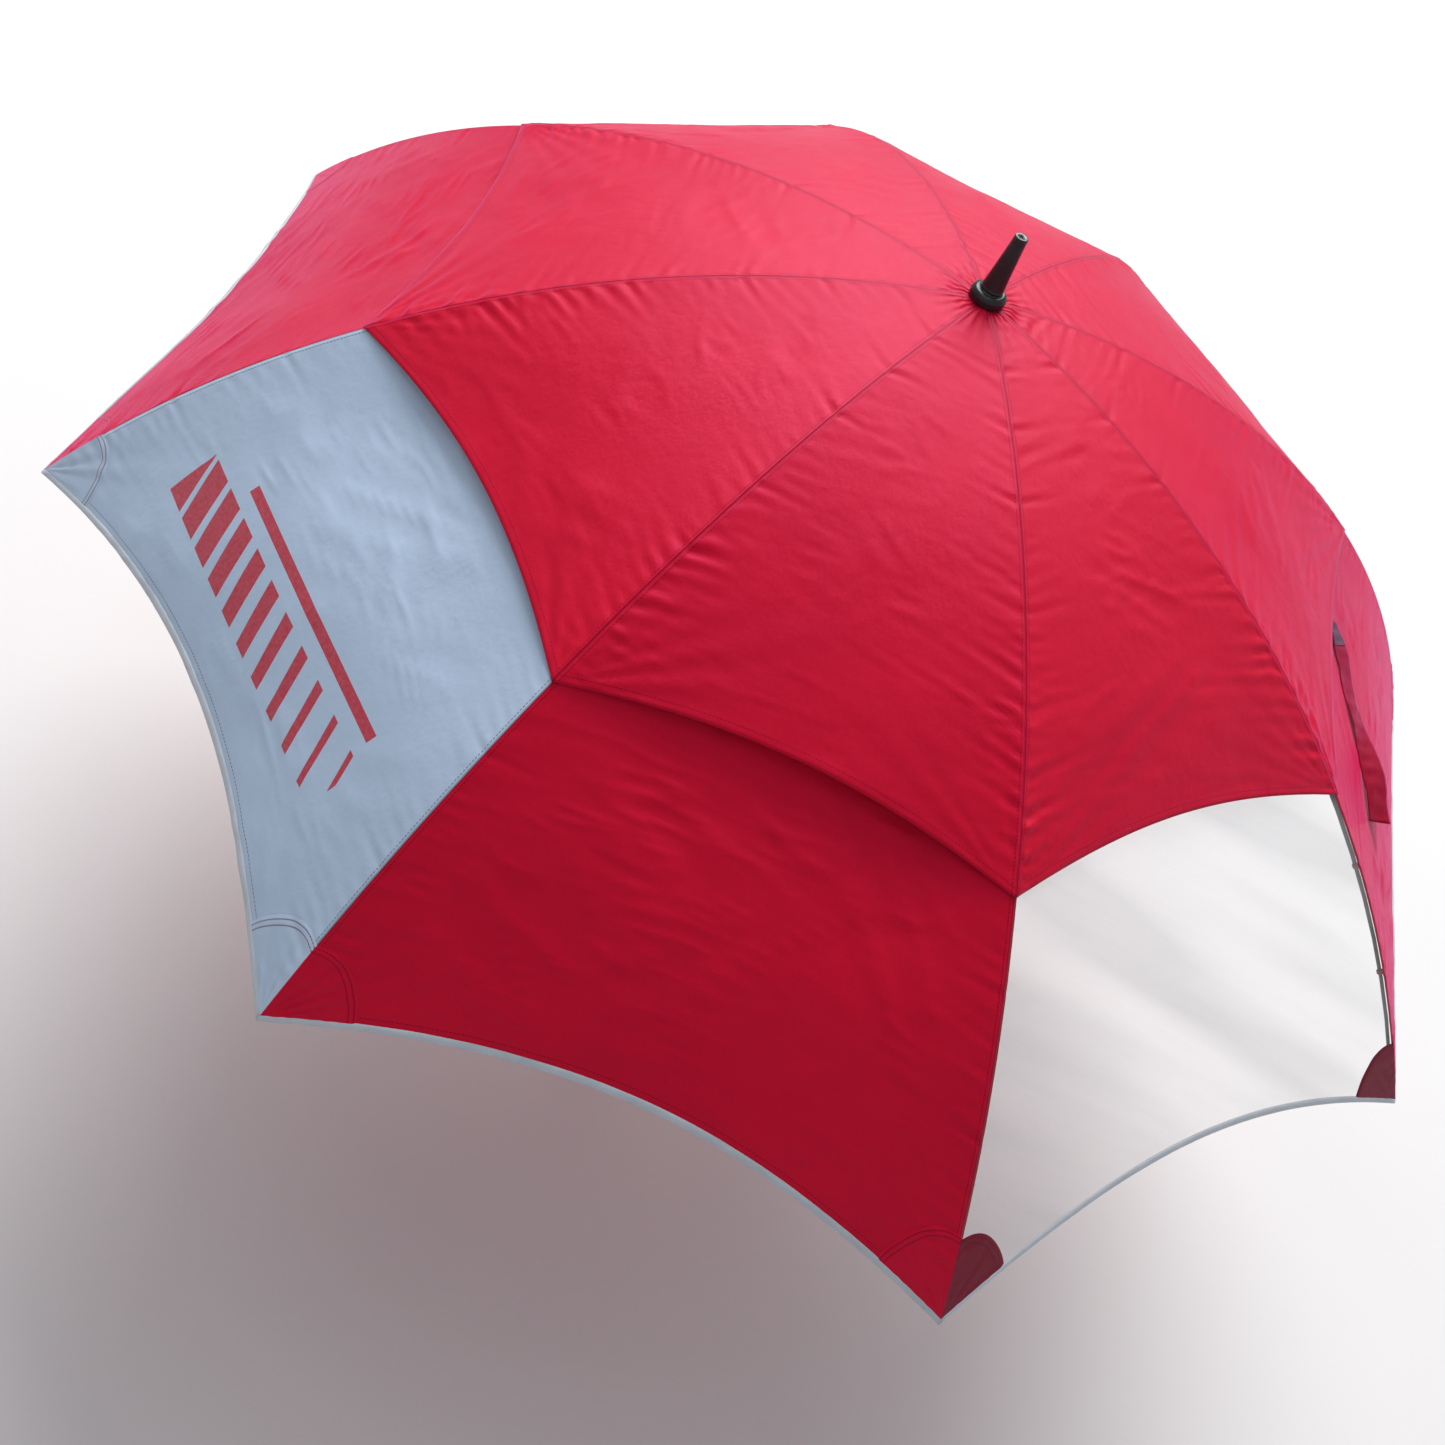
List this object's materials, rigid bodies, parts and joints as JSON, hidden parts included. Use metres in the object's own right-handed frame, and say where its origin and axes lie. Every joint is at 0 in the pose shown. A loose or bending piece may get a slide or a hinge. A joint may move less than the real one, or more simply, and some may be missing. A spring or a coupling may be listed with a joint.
{
  "type": "golf umbrella",
  "caption": "Open golf umbrella with a vented double canopy, one clear window gore, folding ribs and stretchers on a sliding runner, and a straight grip.",
  "frame": {"origin": "on the shaft axis, in the middle of the hand grip", "axes": "+Z along the shaft, from the grip to the ferrule; rib d lies along +X and the ribs follow anticlockwise every 45 degrees"},
  "size_m": [1.471, 1.471, 1.0778],
  "materials": {
    "red_cloth": "satin woven polyester",
    "silver_cloth": "satin woven polyester, blue-grey",
    "clear_window": "clear flexible film",
    "plated_steel": "plated",
    "black_fibreglass": "satin pultruded fibreglass",
    "black_nylon": "moulded nylon",
    "gloss_black": "glossy moulded plastic",
    "grip_foam": "fine-grained foam rubber",
    "button_red": "moulded plastic"
  },
  "bodies": {
    "root": {"shaft": "black_fibreglass", "crown": "black_nylon", "crown_wire": "plated_steel", "ferrule_collar": "gloss_black", "ferrule_spike": "gloss_black", "runner_stop": "black_nylon", "handle_grip": "grip_foam", "handle_end_cap": "gloss_black", "button_spring": "plated_steel"},
    "runner": {"runner": "black_nylon"},
    "push_button": {"push_button": "button_red"},
    "rib_inner_a": {"rib_inner_a": "black_fibreglass", "rib_bracket_a": "plated_steel", "upper_gore_ab": "red_cloth"},
    "rib_outer_a": {"rib_outer_a": "black_fibreglass", "lower_gore_ab": "silver_cloth"},
    "stretcher_a": {"stretcher_a": "black_fibreglass"},
    "rib_inner_b": {"rib_inner_b": "black_fibreglass", "rib_bracket_b": "plated_steel", "upper_gore_bc": "red_cloth"},
    "rib_outer_b": {"rib_outer_b": "black_fibreglass", "lower_gore_bc": "red_cloth"},
    "stretcher_b": {"stretcher_b": "black_fibreglass"},
    "rib_inner_c": {"rib_inner_c": "black_fibreglass", "rib_bracket_c": "plated_steel", "upper_gore_cd": "red_cloth"},
    "rib_outer_c": {"rib_outer_c": "black_fibreglass", "lower_gore_cd": "clear_window"},
    "stretcher_c": {"stretcher_c": "black_fibreglass"},
    "rib_inner_d": {"rib_inner_d": "black_fibreglass", "rib_bracket_d": "plated_steel", "upper_gore_de": "red_cloth"},
    "rib_outer_d": {"rib_outer_d": "black_fibreglass", "lower_gore_de": "red_cloth", "tie_strap": "red_cloth"},
    "stretcher_d": {"stretcher_d": "black_fibreglass"},
    "rib_inner_e": {"rib_inner_e": "black_fibreglass", "rib_bracket_e": "plated_steel", "upper_gore_ef": "red_cloth"},
    "rib_outer_e": {"rib_outer_e": "black_fibreglass", "lower_gore_ef": "red_cloth"},
    "stretcher_e": {"stretcher_e": "black_fibreglass"},
    "rib_inner_f": {"rib_inner_f": "black_fibreglass", "rib_bracket_f": "plated_steel", "upper_gore_fg": "red_cloth"},
    "rib_outer_f": {"rib_outer_f": "black_fibreglass", "lower_gore_fg": "red_cloth"},
    "stretcher_f": {"stretcher_f": "black_fibreglass"},
    "rib_inner_g": {"rib_inner_g": "black_fibreglass", "rib_bracket_g": "plated_steel", "upper_gore_gh": "red_cloth"},
    "rib_outer_g": {"rib_outer_g": "black_fibreglass", "lower_gore_gh": "red_cloth"},
    "stretcher_g": {"stretcher_g": "black_fibreglass"},
    "rib_inner_h": {"rib_inner_h": "black_fibreglass", "rib_bracket_h": "plated_steel", "upper_gore_ha": "red_cloth"},
    "rib_outer_h": {"rib_outer_h": "black_fibreglass", "lower_gore_ha": "red_cloth"},
    "stretcher_h": {"stretcher_h": "black_fibreglass"}
  },
  "joints": [
    {"name": "runner_slide", "type": "slide", "parent": "root", "child": "runner", "axis": [0, 0, -1], "range_m": [0, 0.5538]},
    {"name": "button_press", "type": "slide", "parent": "root", "child": "push_button", "axis": [-1, 0, 0], "range_m": [0, 0.002], "stiffness_N_per_m": 500, "springref_m": -0.001, "deforming": ["button_spring"]},
    {"name": "rib_hinge_a", "type": "hinge", "parent": "root", "child": "rib_inner_a", "pos_m": [-0.01023, -0.01023, 0.92374], "axis": [0.7071, -0.7071, 0], "range_deg": [0, 71.78], "deforming": ["upper_gore_ab"]},
    {"name": "rib_flex_a", "type": "hinge", "parent": "rib_inner_a", "child": "rib_outer_a", "pos_m": [-0.2804, -0.2804, 0.81868], "axis": [0.7071, -0.7071, 0], "range_deg": [-20.37, 0], "deforming": ["lower_gore_ab"]},
    {"name": "stretcher_hinge_a", "type": "hinge", "parent": "rib_inner_a", "child": "stretcher_a", "pos_m": [-0.27136, -0.27136, 0.81625], "axis": [0.7071, -0.7071, 0], "range_deg": [-143.55, 0]},
    {"name": "rib_hinge_b", "type": "hinge", "parent": "root", "child": "rib_inner_b", "pos_m": [0, -0.01446, 0.92374], "axis": [1, 0, 0], "range_deg": [0, 71.78], "deforming": ["upper_gore_bc"]},
    {"name": "rib_flex_b", "type": "hinge", "parent": "rib_inner_b", "child": "rib_outer_b", "pos_m": [0, -0.39655, 0.81868], "axis": [1, 0, 0], "range_deg": [-20.37, 0], "deforming": ["lower_gore_bc"]},
    {"name": "stretcher_hinge_b", "type": "hinge", "parent": "rib_inner_b", "child": "stretcher_b", "pos_m": [0, -0.38376, 0.81625], "axis": [1, 0, 0], "range_deg": [-143.55, 0]},
    {"name": "rib_hinge_c", "type": "hinge", "parent": "root", "child": "rib_inner_c", "pos_m": [0.01023, -0.01023, 0.92374], "axis": [0.7071, 0.7071, 0], "range_deg": [0, 71.78], "deforming": ["upper_gore_cd"]},
    {"name": "rib_flex_c", "type": "hinge", "parent": "rib_inner_c", "child": "rib_outer_c", "pos_m": [0.2804, -0.2804, 0.81868], "axis": [0.7071, 0.7071, 0], "range_deg": [-20.37, 0], "deforming": ["lower_gore_cd"]},
    {"name": "stretcher_hinge_c", "type": "hinge", "parent": "rib_inner_c", "child": "stretcher_c", "pos_m": [0.27136, -0.27136, 0.81625], "axis": [0.7071, 0.7071, 0], "range_deg": [-143.55, 0]},
    {"name": "rib_hinge_d", "type": "hinge", "parent": "root", "child": "rib_inner_d", "pos_m": [0.01446, 0, 0.92374], "axis": [0, 1, 0], "range_deg": [0, 71.78], "deforming": ["upper_gore_de"]},
    {"name": "rib_flex_d", "type": "hinge", "parent": "rib_inner_d", "child": "rib_outer_d", "pos_m": [0.39655, 0, 0.81868], "axis": [0, 1, 0], "range_deg": [-20.37, 0], "deforming": ["lower_gore_de", "tie_strap"]},
    {"name": "stretcher_hinge_d", "type": "hinge", "parent": "rib_inner_d", "child": "stretcher_d", "pos_m": [0.38376, 0, 0.81625], "axis": [0, 1, 0], "range_deg": [-143.55, 0]},
    {"name": "rib_hinge_e", "type": "hinge", "parent": "root", "child": "rib_inner_e", "pos_m": [0.01023, 0.01023, 0.92374], "axis": [-0.7071, 0.7071, 0], "range_deg": [0, 71.78], "deforming": ["upper_gore_ef"]},
    {"name": "rib_flex_e", "type": "hinge", "parent": "rib_inner_e", "child": "rib_outer_e", "pos_m": [0.2804, 0.2804, 0.81868], "axis": [-0.7071, 0.7071, 0], "range_deg": [-20.37, 0], "deforming": ["lower_gore_ef"]},
    {"name": "stretcher_hinge_e", "type": "hinge", "parent": "rib_inner_e", "child": "stretcher_e", "pos_m": [0.27136, 0.27136, 0.81625], "axis": [-0.7071, 0.7071, 0], "range_deg": [-143.55, 0]},
    {"name": "rib_hinge_f", "type": "hinge", "parent": "root", "child": "rib_inner_f", "pos_m": [0, 0.01446, 0.92374], "axis": [-1, 0, 0], "range_deg": [0, 71.78], "deforming": ["upper_gore_fg"]},
    {"name": "rib_flex_f", "type": "hinge", "parent": "rib_inner_f", "child": "rib_outer_f", "pos_m": [0, 0.39655, 0.81868], "axis": [-1, 0, 0], "range_deg": [-20.37, 0], "deforming": ["lower_gore_fg"]},
    {"name": "stretcher_hinge_f", "type": "hinge", "parent": "rib_inner_f", "child": "stretcher_f", "pos_m": [0, 0.38376, 0.81625], "axis": [-1, 0, 0], "range_deg": [-143.55, 0]},
    {"name": "rib_hinge_g", "type": "hinge", "parent": "root", "child": "rib_inner_g", "pos_m": [-0.01023, 0.01023, 0.92374], "axis": [-0.7071, -0.7071, 0], "range_deg": [0, 71.78], "deforming": ["upper_gore_gh"]},
    {"name": "rib_flex_g", "type": "hinge", "parent": "rib_inner_g", "child": "rib_outer_g", "pos_m": [-0.2804, 0.2804, 0.81868], "axis": [-0.7071, -0.7071, 0], "range_deg": [-20.37, 0], "deforming": ["lower_gore_gh"]},
    {"name": "stretcher_hinge_g", "type": "hinge", "parent": "rib_inner_g", "child": "stretcher_g", "pos_m": [-0.27136, 0.27136, 0.81625], "axis": [-0.7071, -0.7071, 0], "range_deg": [-143.55, 0]},
    {"name": "rib_hinge_h", "type": "hinge", "parent": "root", "child": "rib_inner_h", "pos_m": [-0.01446, 0, 0.92374], "axis": [0, -1, 0], "range_deg": [0, 71.78], "deforming": ["upper_gore_ha"]},
    {"name": "rib_flex_h", "type": "hinge", "parent": "rib_inner_h", "child": "rib_outer_h", "pos_m": [-0.39655, 0, 0.81868], "axis": [0, -1, 0], "range_deg": [-20.37, 0], "deforming": ["lower_gore_ha"]},
    {"name": "stretcher_hinge_h", "type": "hinge", "parent": "rib_inner_h", "child": "stretcher_h", "pos_m": [-0.38376, 0, 0.81625], "axis": [0, -1, 0], "range_deg": [-143.55, 0]}
  ],
  "couplings": [
    {"joint": "rib_hinge_a", "follows": "runner_slide", "rad_per_m": 2.2619},
    {"joint": "rib_flex_a", "follows": "runner_slide", "rad_per_m": -0.64179},
    {"joint": "stretcher_hinge_a", "follows": "runner_slide", "rad_per_m": -4.5238},
    {"joint": "rib_hinge_b", "follows": "runner_slide", "rad_per_m": 2.2619},
    {"joint": "rib_flex_b", "follows": "runner_slide", "rad_per_m": -0.64179},
    {"joint": "stretcher_hinge_b", "follows": "runner_slide", "rad_per_m": -4.5238},
    {"joint": "rib_hinge_c", "follows": "runner_slide", "rad_per_m": 2.2619},
    {"joint": "rib_flex_c", "follows": "runner_slide", "rad_per_m": -0.64179},
    {"joint": "stretcher_hinge_c", "follows": "runner_slide", "rad_per_m": -4.5238},
    {"joint": "rib_hinge_d", "follows": "runner_slide", "rad_per_m": 2.2619},
    {"joint": "rib_flex_d", "follows": "runner_slide", "rad_per_m": -0.64179},
    {"joint": "stretcher_hinge_d", "follows": "runner_slide", "rad_per_m": -4.5238},
    {"joint": "rib_hinge_e", "follows": "runner_slide", "rad_per_m": 2.2619},
    {"joint": "rib_flex_e", "follows": "runner_slide", "rad_per_m": -0.64179},
    {"joint": "stretcher_hinge_e", "follows": "runner_slide", "rad_per_m": -4.5238},
    {"joint": "rib_hinge_f", "follows": "runner_slide", "rad_per_m": 2.2619},
    {"joint": "rib_flex_f", "follows": "runner_slide", "rad_per_m": -0.64179},
    {"joint": "stretcher_hinge_f", "follows": "runner_slide", "rad_per_m": -4.5238},
    {"joint": "rib_hinge_g", "follows": "runner_slide", "rad_per_m": 2.2619},
    {"joint": "rib_flex_g", "follows": "runner_slide", "rad_per_m": -0.64179},
    {"joint": "stretcher_hinge_g", "follows": "runner_slide", "rad_per_m": -4.5238},
    {"joint": "rib_hinge_h", "follows": "runner_slide", "rad_per_m": 2.2619},
    {"joint": "rib_flex_h", "follows": "runner_slide", "rad_per_m": -0.64179},
    {"joint": "stretcher_hinge_h", "follows": "runner_slide", "rad_per_m": -4.5238}
  ]
}
